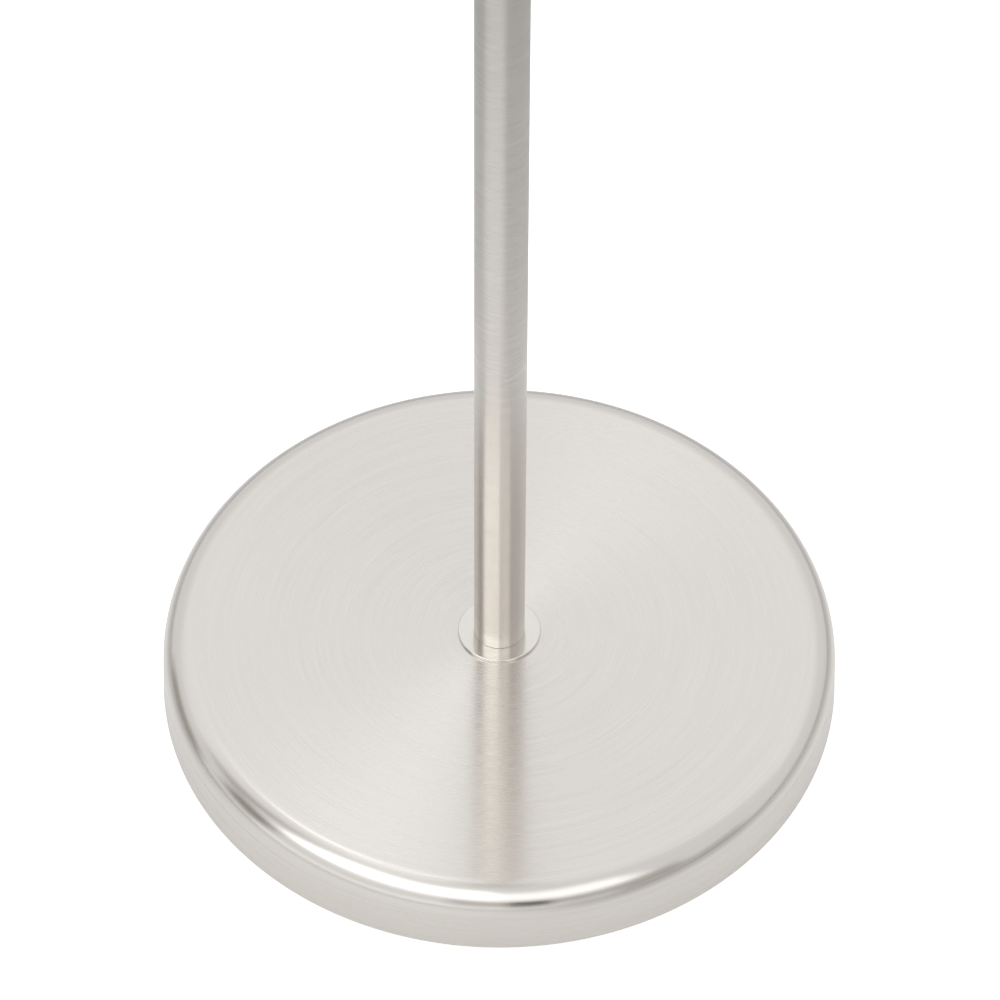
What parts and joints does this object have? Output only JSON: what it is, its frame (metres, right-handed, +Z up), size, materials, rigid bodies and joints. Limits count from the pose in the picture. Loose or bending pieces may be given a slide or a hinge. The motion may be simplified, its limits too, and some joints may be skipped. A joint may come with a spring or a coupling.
{
  "type": "torchiere floor lamp",
  "caption": "Floor lamp with a weighted round brushed-metal base, a slim sectioned pole and an upward frosted glass bowl, with a rotary switch under the bowl.",
  "frame": {"origin": "middle of the base where it rests on the floor", "axes": "+Z up along the pole, -Y the front, where the switch knob points, +Y the back, where the cord enters"},
  "size_m": [0.31, 0.31, 1.8],
  "materials": {
    "brushed_nickel": "satin nickel plate over steel, brushed round",
    "polished_nickel": "bright nickel plate",
    "ballast_iron": "rough cast, painted dark grey",
    "felt": "pressed felt",
    "black_rubber": "matt",
    "white_rubber": "soft translucent silicone",
    "zinc_steel": "zinc plated",
    "brass": "turned",
    "phenolic": "moulded phenolic",
    "black_plastic": "moulded, satin",
    "white_plastic": "moulded, fine texture",
    "bulb_plastic": "frosted diffuser",
    "bulb_cap_metal": "rolled thread",
    "circuit_board": "white solder mask on an aluminium board",
    "opal_glass": "frosted opal glass, satin outside",
    "cord_plastic": "PVC insulation",
    "neutral_plastic": "PVC insulation"
  },
  "bodies": {
    "lamp": {"base_cover": "brushed_nickel", "base_ballast": "ballast_iron", "base_pad": "felt", "cord_grommet": "black_rubber", "flange_washer": "polished_nickel", "base_nipple": "zinc_steel", "base_flat_washer": "zinc_steel", "base_star_washer": "zinc_steel", "base_nut": "zinc_steel", "pole_section_1": "brushed_nickel", "pole_section_2": "brushed_nickel", "pole_section_3": "brushed_nickel", "pole_section_4": "brushed_nickel", "joint_ring_1": "polished_nickel", "joint_ring_2": "polished_nickel", "joint_ring_3": "polished_nickel", "joint_ring_4": "polished_nickel", "pole_inserts": "zinc_steel", "joint_nipples": "zinc_steel", "switch_housing": "brushed_nickel", "housing_cap": "brushed_nickel", "lock_nuts": "brass", "switch_body": "phenolic", "switch_bushing": "brass", "switch_nut": "polished_nickel", "neck_collar": "brushed_nickel", "neck_nipple": "zinc_steel", "socket_cup": "brushed_nickel", "shade_dish": "brushed_nickel", "dish_gasket": "white_rubber", "glass_bowl": "opal_glass", "socket_base": "phenolic", "socket_body": "phenolic", "screw_shell": "brass", "center_contact": "brass", "socket_screws": "brass", "shade_ring": "white_plastic", "ring_washer": "white_rubber", "bulb_tip": "zinc_steel", "bulb_insulator": "phenolic", "bulb_screw_cap": "bulb_cap_metal", "bulb_body": "white_plastic", "led_board": "circuit_board", "bulb_diffuser": "bulb_plastic", "power_lead": "cord_plastic", "live_wire": "cord_plastic", "neutral_wire": "neutral_plastic", "switched_wire": "cord_plastic"},
    "knob": {"switch_shaft": "zinc_steel", "switch_knob": "black_plastic"}
  },
  "joints": [
    {"name": "switch_turn", "type": "hinge", "parent": "lamp", "child": "knob", "pos_m": [0, -0.03, 1.6133], "axis": [0, -1, 0], "continuous": true}
  ]
}
